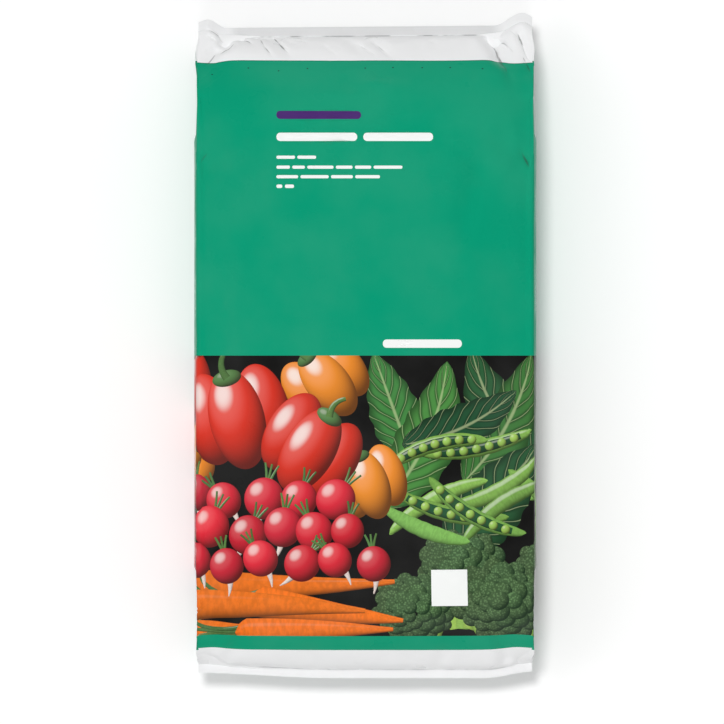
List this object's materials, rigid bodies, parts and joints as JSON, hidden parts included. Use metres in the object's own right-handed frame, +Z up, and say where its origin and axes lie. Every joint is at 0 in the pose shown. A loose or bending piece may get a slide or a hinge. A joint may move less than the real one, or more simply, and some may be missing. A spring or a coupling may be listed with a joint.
{
  "type": "compost bag",
  "caption": "Filled, sealed plastic film compost bag with tucked side gussets and welded ends, lying on its back; white film with green print and a picture panel.",
  "frame": {"origin": "centre of the bag's footprint box, on the surface it lies on", "axes": "+Z up out of the printed front, +Y along the bag towards its top weld, +X across the bag to the right as the print is read"},
  "size_m": [0.413, 0.8018, 0.1652],
  "materials": {
    "printed_film": "soft-gloss printed polythene film, white at the ends, green with a picture panel between, finely wrinkled over the filling"
  },
  "bodies": {
    "root": {"compost_bag": "printed_film"}
  },
  "joints": []
}
